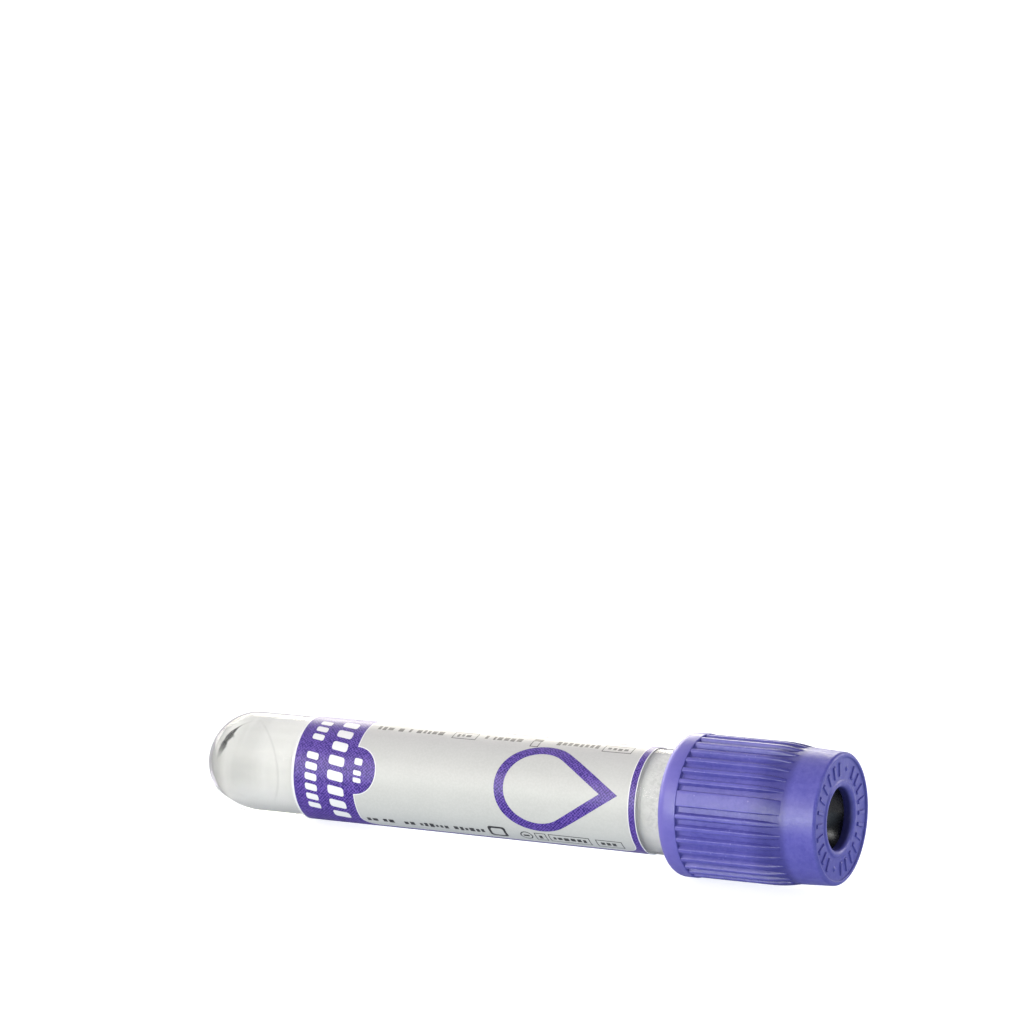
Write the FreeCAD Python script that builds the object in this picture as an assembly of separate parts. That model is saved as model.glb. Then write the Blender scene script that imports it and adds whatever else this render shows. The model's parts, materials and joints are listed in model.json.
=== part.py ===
"""Evacuated blood collection tube, 13 x 75 mm, with its push-on closure.

Four pieces: the moulded clear tube, the rubber stopper, the plastic shield
(cap) that holds the stopper, and the wrapped label.  Every piece is turned
round one axis.  The profiles below are given in the tube's own coordinates:
s runs along the axis from the pole of the round end (s = 0) to the cap's
face, r is the distance from the axis.

The tube is modelled lying down, as it comes to rest: it touches the floor with
the rear band of the cap and with the round end, so its axis rises towards the
cap by a small angle.  +X points along the floor towards the cap, +Z is up, and
the origin is the bottom centre of the bounding box.
"""
import FreeCAD, Part
import math
import os

V = FreeCAD.Vector

# ---------------------------------------------------------------- dimensions
# tube
TUBE_LEN = 75.0          # nominal length, pole of the round end to the mouth
TUBE_R_MOUTH = 6.5       # outer radius at the mouth (nominal 13 mm)
TUBE_R_END = 6.3         # outer radius of the round end and of the straight length next to it
STRAIGHT_S1 = 14.40      # end of that straight length; from here on the wall widens (draft)
BORE_R_MOUTH = 5.5       # inner radius at the mouth
BORE_R_END = 5.25        # inner radius where the round end starts
LIP_ROUND = 0.25         # rounding of the mouth's two edges

# label
LABEL_T = 0.10           # film and adhesive
LABEL_S0 = 14.40         # edge towards the round end
LABEL_S1 = 61.80         # edge towards the cap
LABEL_MID_DEG = 162.4    # where the middle of the printed panel faces
LABEL_GAP_DEG = 40.0     # bare sight strip on the far side

# cap (shield)
CAP_S_REAR = 65.40       # rear edge of the skirt
BAND_S_FRONT = 68.10     # front edge of the smooth rear band
BAND_R = 8.80
BAND_ROUND = 1.30        # large rounding of the band's rear edge
RIB_S_END = 81.70        # where the ribs have sunk into the collar
FLOOR_R_REAR = 8.18      # groove floor at the band
FLOOR_R_FRONT = 8.27     # groove floor at the collar
RIB_CREST_R = 8.72
RIB_STRAIGHT_S = 78.00   # the crests run straight up to here
RIB_BARREL_R = 15.8      # then bend inwards on this radius
RIB_PATH_END_S = 82.60
RIB_TIP_ROUND = 0.20
RIB_FOOT_HALF = 0.47
PAD_CREST_R = 8.68
PAD_HALF = 0.965
PAD_ROUND = 0.12
PAD_PHASE_DEG = 159.5    # one of the four pads faces this way
RIBS_PER_QUARTER = 7
RIB_FIRST_DEG = 14.5     # from a pad's middle to the nearest rib
COLLAR_R_FACE = 8.10
FACE_S = 86.20
BEAD_ROUND = 0.45        # rounding outside the face's rim bead
BEAD_R_IN = 7.55
RING_R_OUT = 7.42        # sunk ring between the rim bead and the hole's bead
RING_R_IN = 4.75
RING_DEPTH = 0.25
HOLE_BEAD_DROP = 0.10
HOLE_BEAD_R = 4.60
HOLE_R = 3.80
HOLE_ROUND = 0.60
TOP_WALL_S = 84.70       # underside of the top wall
HEAD_BORE_R = 6.70
SHOULDER_S = 78.30
SKIRT_BORE_R = 7.10
SNAP_R = 6.85            # bead that keeps the stopper in the shield
SNAP_S0, SNAP_S1 = 73.90, 74.90
BAR_COUNT = 11           # short raised bars, in two groups, on the sunk ring
BAR_PITCH_DEG = 14.2
BAR_R0, BAR_R1 = 5.30, 6.95
BAR_HALF = 0.24
BAR_H = 0.18
DOT_R = 0.30             # a raised dot between the two groups, twice
DOT_PHASE_DEG = 69.5

# stopper
FLANGE_S = 75.02         # underside of the flange, on the tube's mouth
FLANGE_R = 7.00
FLANGE_TOP_S = 78.20
HEAD_R = 6.65
WELL_R = 4.70            # dished well under the cap's hole
WELL_DEPTH = 3.80
PLUG_R = 5.41
PLUG_S_END = 67.30
PLUG_CHAMFER = 0.60
CAVITY_R = 3.20
CAVITY_S = 73.80         # the cavity's domed roof is centred here

# ---------------------------------------------------------------- helpers


def pt(s, r):
    return V(s, r, 0)


def seg(a, b):
    return Part.makeLine(pt(*a), pt(*b))


def arc(centre, radius, deg0, deg1):
    """Arc in the s-r plane, through its middle."""
    def at(d):
        t = math.radians(d)
        return pt(centre[0] + radius * math.cos(t), centre[1] + radius * math.sin(t))
    return Part.Arc(at(deg0), at(0.5 * (deg0 + deg1)), at(deg1)).toShape()


def ends(edge):
    """The edge's two ends as (s, r), in its own direction."""
    a, b = edge.firstVertex(True).Point, edge.lastVertex(True).Point
    return (a.x, a.y), (b.x, b.y)


def turned(edges, angle=360.0, start=0.0):
    """Solid of revolution about the s axis from a closed chain of edges."""
    wire = Part.Wire(Part.__sortEdges__(edges))
    face = Part.Face(wire)
    solid = face.revolve(V(0, 0, 0), V(1, 0, 0), angle)
    if solid.ShapeType != "Solid":
        solid = solid.Solids[0]
    if start:
        solid.rotate(V(0, 0, 0), V(1, 0, 0), start)
    if solid.Volume < 0:
        solid.reverse()
    return solid


def outer_r(s):
    wide = (TUBE_R_MOUTH - TUBE_R_END) * (s - STRAIGHT_S1) / (TUBE_LEN - STRAIGHT_S1)
    return TUBE_R_END + max(0.0, wide)


def bore_r(s):
    return BORE_R_END + (BORE_R_MOUTH - BORE_R_END) * (s - TUBE_R_END) / (TUBE_LEN - TUBE_R_END)


# ---------------------------------------------------------------- tube
def make_tube():
    c = TUBE_R_END                     # centre of both round ends
    k = LIP_ROUND
    e = []
    e.append(arc((c, 0), TUBE_R_END, 180, 90))
    e.append(seg((c, TUBE_R_END), (STRAIGHT_S1, TUBE_R_END)))
    e.append(seg((STRAIGHT_S1, TUBE_R_END), (TUBE_LEN - k, outer_r(TUBE_LEN - k))))
    e.append(Part.Arc(pt(TUBE_LEN - k, outer_r(TUBE_LEN - k)),
                      pt(TUBE_LEN - k * (1 - math.sin(math.radians(45))),
                         outer_r(TUBE_LEN - k) - k * (1 - math.cos(math.radians(45)))),
                      pt(TUBE_LEN, outer_r(TUBE_LEN - k) - k)).toShape())
    e.append(seg((TUBE_LEN, outer_r(TUBE_LEN - k) - k), (TUBE_LEN, bore_r(TUBE_LEN - k) + k)))
    e.append(Part.Arc(pt(TUBE_LEN, bore_r(TUBE_LEN - k) + k),
                      pt(TUBE_LEN - k * (1 - math.sin(math.radians(45))),
                         bore_r(TUBE_LEN - k) + k * (1 - math.cos(math.radians(45)))),
                      pt(TUBE_LEN - k, bore_r(TUBE_LEN - k))).toShape())
    e.append(seg((TUBE_LEN - k, bore_r(TUBE_LEN - k)), (c, BORE_R_END)))
    e.append(arc((c, 0), BORE_R_END, 90, 180))
    e.append(seg((c - BORE_R_END, 0), (0, 0)))
    return turned(e)


# ---------------------------------------------------------------- label
def make_label():
    r0, r1 = outer_r(LABEL_S0), outer_r(LABEL_S1)
    e = [seg((LABEL_S0, r0), (LABEL_S1, r1)),
         seg((LABEL_S1, r1), (LABEL_S1, r1 + LABEL_T)),
         seg((LABEL_S1, r1 + LABEL_T), (LABEL_S0, r0 + LABEL_T)),
         seg((LABEL_S0, r0 + LABEL_T), (LABEL_S0, r0))]
    return turned(e, 360.0 - LABEL_GAP_DEG, LABEL_MID_DEG - 180.0 + LABEL_GAP_DEG / 2)


# ---------------------------------------------------------------- cap
def cap_core():
    """The shield without its ribs, pads and face bars."""
    hs = FACE_S - HOLE_BEAD_DROP
    collar_end = FACE_S - BEAD_ROUND
    ring_s = FACE_S - RING_DEPTH
    p = 0.25
    e = [
        seg((CAP_S_REAR, SKIRT_BORE_R + p), (CAP_S_REAR, BAND_R - BAND_ROUND)),
        arc((CAP_S_REAR + BAND_ROUND, BAND_R - BAND_ROUND), BAND_ROUND, 180, 90),
        seg((CAP_S_REAR + BAND_ROUND, BAND_R), (BAND_S_FRONT, BAND_R)),
        seg((BAND_S_FRONT, BAND_R), (BAND_S_FRONT, FLOOR_R_REAR)),
        seg((BAND_S_FRONT, FLOOR_R_REAR), (RIB_S_END, FLOOR_R_FRONT)),
        seg((RIB_S_END, FLOOR_R_FRONT), (collar_end, COLLAR_R_FACE)),
        arc((collar_end, COLLAR_R_FACE - BEAD_ROUND), BEAD_ROUND, 90, 0),
        seg((FACE_S, COLLAR_R_FACE - BEAD_ROUND), (FACE_S, BEAD_R_IN)),
        seg((FACE_S, BEAD_R_IN), (ring_s, RING_R_OUT)),
        seg((ring_s, RING_R_OUT), (ring_s, RING_R_IN)),
        seg((ring_s, RING_R_IN), (hs, HOLE_BEAD_R)),
        seg((hs, HOLE_BEAD_R), (hs, HOLE_R + HOLE_ROUND)),
        arc((hs - HOLE_ROUND, HOLE_R + HOLE_ROUND), HOLE_ROUND, 360, 270),
        seg((hs - HOLE_ROUND, HOLE_R), (TOP_WALL_S, HOLE_R)),
        seg((TOP_WALL_S, HOLE_R), (TOP_WALL_S, HEAD_BORE_R)),
        seg((TOP_WALL_S, HEAD_BORE_R), (SHOULDER_S, HEAD_BORE_R)),
        seg((SHOULDER_S, HEAD_BORE_R), (SHOULDER_S, SKIRT_BORE_R)),
        seg((SHOULDER_S, SKIRT_BORE_R), (SNAP_S1, SKIRT_BORE_R)),
        seg((SNAP_S1, SKIRT_BORE_R), (SNAP_S1 - 0.15, SNAP_R)),
        seg((SNAP_S1 - 0.15, SNAP_R), (SNAP_S0 + 0.40, SNAP_R)),
        seg((SNAP_S0 + 0.40, SNAP_R), (SNAP_S0, SKIRT_BORE_R)),
        seg((SNAP_S0, SKIRT_BORE_R), (CAP_S_REAR + p, SKIRT_BORE_R)),
        seg((CAP_S_REAR + p, SKIRT_BORE_R), (CAP_S_REAR, SKIRT_BORE_R + p)),
    ]
    return turned(e)


def rounded_outline(points, radii, x):
    """Closed wire in the plane s = x through (t, r) points, corners rounded.

    t is the direction along the skirt's circumference.
    """
    n = len(points)
    edges = []
    starts, stops = [], []
    for i in range(n):
        p0, p1, p2 = points[i - 1], points[i], points[(i + 1) % n]
        rad = radii[i]
        a = (p0[0] - p1[0], p0[1] - p1[1])
        b = (p2[0] - p1[0], p2[1] - p1[1])
        la, lb = math.hypot(*a), math.hypot(*b)
        a, b = (a[0] / la, a[1] / la), (b[0] / lb, b[1] / lb)
        if rad <= 0:
            starts.append(p1)
            stops.append(p1)
            continue
        half = 0.5 * math.acos(max(-1, min(1, a[0] * b[0] + a[1] * b[1])))
        d = rad / math.tan(half)
        s0 = (p1[0] + a[0] * d, p1[1] + a[1] * d)
        s1 = (p1[0] + b[0] * d, p1[1] + b[1] * d)
        m = (a[0] + b[0], a[1] + b[1])
        lm = math.hypot(*m)
        h = rad / math.sin(half)
        c = (p1[0] + m[0] / lm * h, p1[1] + m[1] / lm * h)
        mid = (c[0] - m[0] / lm * rad, c[1] - m[1] / lm * rad)
        starts.append(s0)
        stops.append(s1)
        edges.append(Part.Arc(V(x, s0[1], s0[0]), V(x, mid[1], mid[0]), V(x, s1[1], s1[0])).toShape())
    for i in range(n):
        p, q = stops[i], starts[(i + 1) % n]
        if math.hypot(p[0] - q[0], p[1] - q[1]) > 1e-7:
            edges.append(Part.makeLine(V(x, p[1], p[0]), V(x, q[1], q[0])))
    return Part.Wire(Part.__sortEdges__(edges))


def crest_path(crest):
    """Straight along the skirt, then bending inwards into the collar."""
    s0 = BAND_S_FRONT - 0.25
    c = (RIB_STRAIGHT_S, crest - RIB_BARREL_R)
    ang = math.degrees(math.asin((RIB_PATH_END_S - RIB_STRAIGHT_S) / RIB_BARREL_R))
    return Part.Wire([seg((s0, crest), (RIB_STRAIGHT_S, crest)), arc(c, RIB_BARREL_R, 90, 90 - ang)])


def swept(outline, crest):
    shape = crest_path(crest).makePipeShell([outline], True, False)
    if shape.ShapeType != "Solid":
        shape = Part.Solid(shape)
    if shape.Volume < 0:
        shape.reverse()
    return shape


def make_rib():
    """One narrow grip rib, straight up (towards +r)."""
    x = BAND_S_FRONT - 0.25
    top, foot = RIB_CREST_R, FLOOR_R_REAR
    # the flanks run from the foot to the rounded tip
    half_tip = 0.235
    pts = [(-RIB_FOOT_HALF - 0.05, foot - 0.22), (-RIB_FOOT_HALF, foot), (-half_tip, top), (half_tip, top),
           (RIB_FOOT_HALF, foot), (RIB_FOOT_HALF + 0.05, foot - 0.22)]
    return swept(rounded_outline(pts, [0, 0, RIB_TIP_ROUND * 0.72, RIB_TIP_ROUND * 0.72, 0, 0], x), RIB_CREST_R)


def make_pad():
    x = BAND_S_FRONT - 0.25
    foot = FLOOR_R_REAR
    pts = [(-PAD_HALF - 0.08, foot - 0.22), (-PAD_HALF, PAD_CREST_R), (PAD_HALF, PAD_CREST_R), (PAD_HALF + 0.08, foot - 0.22)]
    return swept(rounded_outline(pts, [0, PAD_ROUND, PAD_ROUND, 0], x), PAD_CREST_R)


def spun(shape, deg):
    """A copy turned about the axis.  0 degrees is +Y, 90 degrees is up."""
    c = shape.copy()
    c.rotate(V(0, 0, 0), V(1, 0, 0), deg)
    return c


def rib_angles():
    step = (90.0 - 2 * RIB_FIRST_DEG) / (RIBS_PER_QUARTER - 1)
    out = []
    for q in range(4):
        for i in range(RIBS_PER_QUARTER):
            out.append(PAD_PHASE_DEG + 90 * q + RIB_FIRST_DEG + step * i)
    return out


def make_cap():
    core = cap_core()
    rib, pad = make_rib(), make_pad()
    extra = [spun(rib, a) for a in rib_angles()]
    extra += [spun(pad, PAD_PHASE_DEG + 90 * q) for q in range(4)]
    ring_s = FACE_S - RING_DEPTH
    for g in range(2):
        middle = DOT_PHASE_DEG + 90 + 180 * g
        for i in range(BAR_COUNT):
            a = middle + (i - (BAR_COUNT - 1) / 2) * BAR_PITCH_DEG
            bar = Part.makeBox(BAR_H + 0.1, BAR_R1 - BAR_R0, 2 * BAR_HALF, V(ring_s - 0.1, BAR_R0, -BAR_HALF))
            extra.append(spun(bar, a))
        r = 0.5 * (BAR_R0 + BAR_R1)
        dot = Part.makeCylinder(DOT_R, BAR_H + 0.1, V(ring_s - 0.1, r, 0), V(1, 0, 0))
        extra.append(spun(dot, DOT_PHASE_DEG + 180 * g))
    cap = core.multiFuse(extra)
    cap = cap.removeSplitter()
    solids = cap.Solids
    assert len(solids) == 1, len(solids)
    return solids[0]


# ---------------------------------------------------------------- stopper
def make_stopper():
    dish = (WELL_R ** 2 + WELL_DEPTH ** 2) / (2 * WELL_DEPTH)      # radius of the dished well
    cs = TOP_WALL_S - WELL_DEPTH + dish                              # its centre on the axis
    lip = math.degrees(math.atan2(WELL_R, TOP_WALL_S - cs))
    k = 0.30
    e = [
        arc((cs, 0), dish, 180, lip),
        seg((TOP_WALL_S, WELL_R), (TOP_WALL_S, HEAD_R - k)),
        seg((TOP_WALL_S, HEAD_R - k), (TOP_WALL_S - k, HEAD_R)),
        seg((TOP_WALL_S - k, HEAD_R), (FLANGE_TOP_S, HEAD_R)),
        seg((FLANGE_TOP_S, HEAD_R), (FLANGE_TOP_S, FLANGE_R)),
        seg((FLANGE_TOP_S, FLANGE_R), (FLANGE_S, FLANGE_R)),
        seg((FLANGE_S, FLANGE_R), (FLANGE_S, PLUG_R)),
        seg((FLANGE_S, PLUG_R), (PLUG_S_END + PLUG_CHAMFER, PLUG_R)),
        seg((PLUG_S_END + PLUG_CHAMFER, PLUG_R), (PLUG_S_END, PLUG_R - PLUG_CHAMFER)),
        seg((PLUG_S_END, PLUG_R - PLUG_CHAMFER), (PLUG_S_END, CAVITY_R + k)),
        seg((PLUG_S_END, CAVITY_R + k), (PLUG_S_END + k, CAVITY_R)),
        seg((PLUG_S_END + k, CAVITY_R), (CAVITY_S, CAVITY_R)),
        arc((CAVITY_S, 0), CAVITY_R, 90, 0),
        seg((CAVITY_S + CAVITY_R, 0), (TOP_WALL_S - WELL_DEPTH, 0)),
    ]
    return turned(e)


# ---------------------------------------------------------------- rest pose
def lowest(profile, tilt):
    """Height of the lowest point of a turned profile, the axis at s = 0 being at height 0."""
    return min(s * math.sin(tilt) - r * math.cos(tilt) for s, r in profile)


def rest():
    """Tilt of the axis, and its height at s = 0, when the tube lies on a floor."""
    end = [(TUBE_R_END - TUBE_R_END * math.cos(math.radians(a)), TUBE_R_END * math.sin(math.radians(a)))
           for a in [i * 0.05 for i in range(0, 1801)]]
    band = [(CAP_S_REAR + BAND_ROUND - BAND_ROUND * math.cos(math.radians(a)),
             BAND_R - BAND_ROUND + BAND_ROUND * math.sin(math.radians(a)))
            for a in [i * 0.05 for i in range(0, 1801)]] + [(BAND_S_FRONT, BAND_R)]
    lo, hi = 0.0, math.radians(10)
    for _ in range(60):
        mid = 0.5 * (lo + hi)
        if lowest(band, mid) < lowest(end, mid):
            lo = mid
        else:
            hi = mid
    return lo, -lowest(end, lo)


def placed(shape, tilt, z0, x0):
    c = shape.copy()
    c.rotate(V(0, 0, 0), V(0, 1, 0), -math.degrees(tilt))
    c.translate(V(x0, 0, z0))
    return c


def main():
    os.makedirs("parts", exist_ok=True)
    tilt, z0 = rest()
    # extent along X: the round end's ball, and the upper edge of the cap's rim bead
    left = TUBE_R_END * math.cos(tilt) - TUBE_R_END
    k = FACE_S - BEAD_ROUND
    right = k * math.cos(tilt) + BEAD_ROUND - (COLLAR_R_FACE - BEAD_ROUND) * -math.sin(tilt)
    x0 = -0.5 * (left + right)
    shapes = {"tube": make_tube(), "label": make_label(), "cap": make_cap(), "stopper": make_stopper()}
    print("tilt_deg %.5f  axis point at s=0: x %.5f z %.5f" % (math.degrees(tilt), x0, z0))
    for name, shape in shapes.items():
        out = placed(shape, tilt, z0, x0)
        b = out.optimalBoundingBox(False, False) if hasattr(out, "optimalBoundingBox") else out.BoundBox
        print("%-8s valid %s solids %d faces %d volume %.2f box x %.3f..%.3f y %.3f..%.3f z %.3f..%.3f" % (
            name, out.isValid(), len(out.Solids), len(out.Faces), out.Volume,
            b.XMin, b.XMax, b.YMin, b.YMax, b.ZMin, b.ZMax))
        out.exportStep("parts/%s.step" % name)


main()
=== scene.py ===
import json
import math

import bmesh
import bpy
import numpy as np
from mathutils import Matrix, Vector
from mathutils.geometry import delaunay_2d_cdt

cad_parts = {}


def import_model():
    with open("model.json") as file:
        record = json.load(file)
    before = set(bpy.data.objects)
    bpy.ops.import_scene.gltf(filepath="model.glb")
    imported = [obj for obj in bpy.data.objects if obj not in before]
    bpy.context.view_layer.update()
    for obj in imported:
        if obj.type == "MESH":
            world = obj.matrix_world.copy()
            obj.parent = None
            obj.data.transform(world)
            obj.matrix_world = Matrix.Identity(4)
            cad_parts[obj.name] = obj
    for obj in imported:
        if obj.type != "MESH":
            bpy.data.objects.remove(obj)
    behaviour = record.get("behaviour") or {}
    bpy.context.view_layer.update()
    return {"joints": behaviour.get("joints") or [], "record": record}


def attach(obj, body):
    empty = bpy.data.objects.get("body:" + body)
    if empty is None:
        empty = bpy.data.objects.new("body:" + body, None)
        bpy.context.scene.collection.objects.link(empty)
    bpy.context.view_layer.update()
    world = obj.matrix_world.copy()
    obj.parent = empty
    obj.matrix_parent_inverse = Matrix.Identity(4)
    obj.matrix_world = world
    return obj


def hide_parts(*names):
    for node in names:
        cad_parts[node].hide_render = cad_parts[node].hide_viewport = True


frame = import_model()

# ------------------------------------------------------------------ the frame
# Tube coordinates, in mm: s runs along the axis from the round end's pole,
# r is the distance from the axis, th the angle round it (0 = +Y, 90 deg = up).
record = frame["record"]
joint = [j for j in frame["joints"] if j["name"] == "closure_pull"][0]
AX = np.array(joint["axis"], float)
AX /= np.linalg.norm(AX)
SIDE = np.array([0.0, 1.0, 0.0])
UP = np.array([-AX[2], 0.0, AX[0]])
pin = [m for m in record["mounts"] if m["name"] == "tube_end"][0]
A0 = np.array(pin["pos_m"], float) * 1000 - 10.35 * AX

# driving sizes of the CAD model, in mm
TUBE_LEN, R_MOUTH, R_END, STRAIGHT_S1 = 75.0, 6.5, 6.3, 14.40
BORE_MOUTH, BORE_END, LIP = 5.5, 5.25, 0.25
LABEL_T, LABEL_S0, LABEL_S1, LABEL_MID, LABEL_GAP = 0.10, 14.40, 61.80, 162.4, 40.0
CAP_REAR, BAND_FRONT, BAND_R, BAND_ROUND = 65.40, 68.10, 8.792, 1.30
RIB_R, PAD_R, BARREL_S, BARREL_R = 8.72, 8.70, 78.00, 15.8
PAD_PHASE, RIB_FIRST, RIBS_Q = 159.5, 14.5, 7
FACE_S, BEAD, COLLAR_R = 86.20, 0.45, 8.10
HOLE_R, HOLE_ROUND, BAR_HALF, BAR_H = 3.80, 0.60, 0.24, 0.18
DOT_PHASE, BAR_PITCH, BAR_COUNT = 69.5, 14.2, 11
TOP_WALL_S = 84.70


def world(s, r, th):
    """Tube coordinates (mm, mm, radians) to the row frame, in metres."""
    s, r, th = np.broadcast_arrays(np.asarray(s, float), np.asarray(r, float), np.asarray(th, float))
    p = (A0 + s[..., None] * AX + (r * np.cos(th))[..., None] * SIDE + (r * np.sin(th))[..., None] * UP)
    return p / 1000.0


def outer_r(s):
    return R_END + np.maximum(0.0, (R_MOUTH - R_END) * (np.asarray(s, float) - STRAIGHT_S1) / (TUBE_LEN - STRAIGHT_S1))


def bore_r(s):
    return BORE_END + (BORE_MOUTH - BORE_END) * (np.asarray(s, float) - R_END) / (TUBE_LEN - R_END)


def arc_pts(cs, cr, radius, d0, d1, n):
    """n + 1 points (s, r) on an arc; degrees from +s towards +r."""
    t = np.radians(np.linspace(d0, d1, n + 1))
    return [(cs + radius * math.cos(a), cr + radius * math.sin(a)) for a in t]


# ------------------------------------------------------------------ mesh code
def volume_sign(v, f):
    tri = np.array([(q[0], q[i], q[i + 1]) for q in f for i in range(1, len(q) - 1)])
    a, b, c = v[tri[:, 0]], v[tri[:, 1]], v[tri[:, 2]]
    return float(np.einsum("ij,ij->i", a, np.cross(b, c)).sum())


def new_mesh(name, v, f, mats, face_mat=None, sharp_deg=35.0):
    v = np.asarray(v, float)
    if volume_sign(v - v.mean(0), f) < 0:
        f = [tuple(reversed(q)) for q in f]
    me = bpy.data.meshes.new(name)
    me.from_pydata([tuple(p) for p in v], [], f)
    me.update()
    for m in mats:
        me.materials.append(m)
    if face_mat is not None:
        me.polygons.foreach_set("material_index", np.asarray(face_mat, np.int32))
    me.shade_smooth()
    me.set_sharp_from_angle(angle=math.radians(sharp_deg))
    ob = bpy.data.objects.new(name, me)
    bpy.context.scene.collection.objects.link(ob)
    return ob


def revolve(name, profile, cols, mats, mat_of=None, phase=0.0, sharp_deg=30.0):
    """A closed solid turned round the axis. The profile is a closed chain of (s, r); points with r = 0 become poles."""
    th = phase + np.linspace(0, 2 * np.pi, cols, endpoint=False)
    v, index = [], []
    for s, r in profile:
        if r < 1e-6:
            index.append([len(v)] * cols)
            v.append(world(s, 0.0, 0.0))
        else:
            index.append(list(range(len(v), len(v) + cols)))
            v.extend(world(np.full(cols, s), np.full(cols, r), th))
    f, fm = [], []
    n = len(profile)
    for i in range(n):
        a, b = index[i], index[(i + 1) % n]
        if a[0] == a[1] and b[0] == b[1]:
            continue
        for j in range(cols):
            k = (j + 1) % cols
            q = []
            for x in (a[j], a[k], b[k], b[j]):
                if x not in q:
                    q.append(x)
            f.append(tuple(q))
            fm.append(mat_of(i) if mat_of else 0)
    return new_mesh(name, np.array(v), f, mats, fm, sharp_deg)


# ------------------------------------------------------------------ materials
class Tree:
    """A small helper over a material's node tree."""

    def __init__(self, name):
        self.mat = bpy.data.materials.new(name)
        self.mat.use_nodes = True
        self.nt = self.mat.node_tree
        self.nt.nodes.clear()
        self.out = self.nt.nodes.new("ShaderNodeOutputMaterial")
        self.bsdf = self.nt.nodes.new("ShaderNodeBsdfPrincipled")
        self.link(self.bsdf.outputs[0], self.out.inputs["Surface"])
        self.coord = self.nt.nodes.new("ShaderNodeTexCoord").outputs["Object"]

    def link(self, a, b):
        self.nt.links.new(a, b)

    def set(self, **values):
        for k, x in values.items():
            self.bsdf.inputs[k.replace("_", " ")].default_value = x

    def put(self, socket, x):
        if isinstance(x, bpy.types.NodeSocket):
            self.link(x, socket)
        elif isinstance(x, (tuple, list)) and socket.type == "RGBA":
            socket.default_value = tuple(x) + (1.0,) * (4 - len(x))
        else:
            socket.default_value = x

    def noise(self, scale, detail=2.0, rough=0.5, vector=None, distortion=0.0):
        n = self.nt.nodes.new("ShaderNodeTexNoise")
        n.inputs["Scale"].default_value = scale
        n.inputs["Detail"].default_value = detail
        n.inputs["Roughness"].default_value = rough
        n.inputs["Distortion"].default_value = distortion
        self.link(vector if vector is not None else self.coord, n.inputs["Vector"])
        return n.outputs["Fac"]

    def voronoi(self, scale, vector=None, feature="F1", out="Distance"):
        n = self.nt.nodes.new("ShaderNodeTexVoronoi")
        n.feature = feature
        n.inputs["Scale"].default_value = scale
        self.link(vector if vector is not None else self.coord, n.inputs["Vector"])
        return n.outputs[out]

    def math(self, op, a, b=0.0, c=0.0, clamp=False):
        n = self.nt.nodes.new("ShaderNodeMath")
        n.operation = op
        n.use_clamp = clamp
        for i, x in enumerate((a, b, c)):
            self.put(n.inputs[i], x)
        return n.outputs[0]

    def remap(self, x, a, b, lo=0.0, hi=1.0, smooth=False):
        n = self.nt.nodes.new("ShaderNodeMapRange")
        n.clamp = True
        if smooth:
            n.interpolation_type = "SMOOTHSTEP"
        for k, y in zip(("Value", "From Min", "From Max", "To Min", "To Max"), (x, a, b, lo, hi)):
            self.put(n.inputs[k], y)
        return n.outputs["Result"]

    def mix(self, fac, a, b):
        n = self.nt.nodes.new("ShaderNodeMix")
        n.data_type = "RGBA"
        self.put(n.inputs[0], fac)
        self.put(n.inputs[6], a)
        self.put(n.inputs[7], b)
        return n.outputs[2]

    def scaled(self, scale, rotate=True):
        """Object coordinates turned to the tube's axis (x along it), scaled per axis."""
        m = self.nt.nodes.new("ShaderNodeMapping")
        m.vector_type = "POINT"
        if rotate:
            m.inputs["Rotation"].default_value = (0.0, math.atan2(AX[2], AX[0]), 0.0)
        m.inputs["Scale"].default_value = scale
        self.link(self.coord, m.inputs["Vector"])
        return m.outputs["Vector"]

    def bump(self, height, strength, distance, normal=None):
        n = self.nt.nodes.new("ShaderNodeBump")
        n.inputs["Strength"].default_value = strength
        n.inputs["Distance"].default_value = distance
        self.link(height, n.inputs["Height"])
        if normal is not None:
            self.link(normal, n.inputs["Normal"])
        return n.outputs["Normal"]


def from_axis(t):
    """Sockets along the tube's axis, across it and up from it, in mm, from the round end's pole."""
    m = t.nt.nodes.new("ShaderNodeVectorMath")
    m.operation = "SUBTRACT"
    m.inputs[1].default_value = tuple(A0 / 1000.0)
    t.link(t.coord, m.inputs[0])
    out = []
    for axis in (AX, SIDE, UP):
        d = t.nt.nodes.new("ShaderNodeVectorMath")
        d.operation = "DOT_PRODUCT"
        d.inputs[1].default_value = tuple(axis * 1000.0)
        t.link(m.outputs[0], d.inputs[0])
        out.append(d.outputs["Value"])
    return out


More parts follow.
